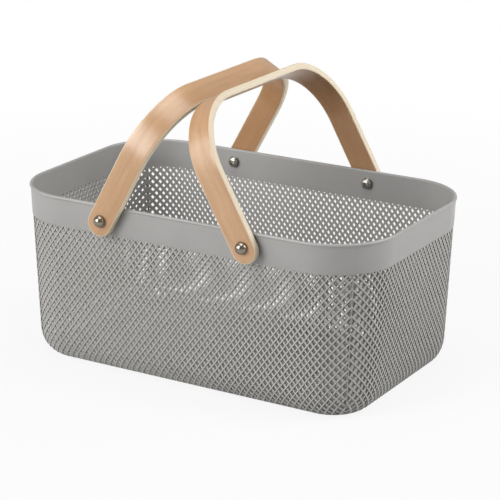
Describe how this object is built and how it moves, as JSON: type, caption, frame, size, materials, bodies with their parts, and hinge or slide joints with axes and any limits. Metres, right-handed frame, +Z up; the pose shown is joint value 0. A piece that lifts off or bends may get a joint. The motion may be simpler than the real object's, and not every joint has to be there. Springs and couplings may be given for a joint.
{
  "type": "storage basket",
  "caption": "Rectangular storage basket moulded in grey plastic with lattice walls and a plain rim band, and bentwood handles that meet over the middle and fold outwards.",
  "frame": {"origin": "centre of the footprint, on the surface that the basket stands on", "axes": "+Z up; +X along the basket's length, with the two hinge axes parallel to Y at equal distances from the middle; -Y is the front"},
  "size_m": [0.4018, 0.2714, 0.2891],
  "materials": {
    "grey_plastic": "satin moulded",
    "beech_veneer": "clear lacquered bentwood, paler on the edges",
    "polished_steel": "polished",
    "screw_steel": "plain zinc plated"
  },
  "bodies": {
    "tub": {"basket_tub": "grey_plastic", "front_left_dome_nut": "polished_steel", "front_left_spacer": "screw_steel", "front_left_washer": "screw_steel", "front_left_screw": "screw_steel", "back_left_dome_nut": "polished_steel", "back_left_spacer": "screw_steel", "back_left_washer": "screw_steel", "back_left_screw": "screw_steel", "front_right_dome_nut": "polished_steel", "front_right_spacer": "screw_steel", "front_right_washer": "screw_steel", "front_right_screw": "screw_steel", "back_right_dome_nut": "polished_steel", "back_right_spacer": "screw_steel", "back_right_washer": "screw_steel", "back_right_screw": "screw_steel"},
    "left_handle": {"left_handle": "beech_veneer"},
    "right_handle": {"right_handle": "beech_veneer"}
  },
  "joints": [
    {"name": "left_handle_hinge", "type": "hinge", "parent": "tub", "child": "left_handle", "pos_m": [-0.079, 0, 0.1615], "axis": [0, 1, 0], "range_deg": [-141, 0]},
    {"name": "right_handle_hinge", "type": "hinge", "parent": "tub", "child": "right_handle", "pos_m": [0.079, 0, 0.1615], "axis": [0, 1, 0], "range_deg": [0, 141]}
  ]
}
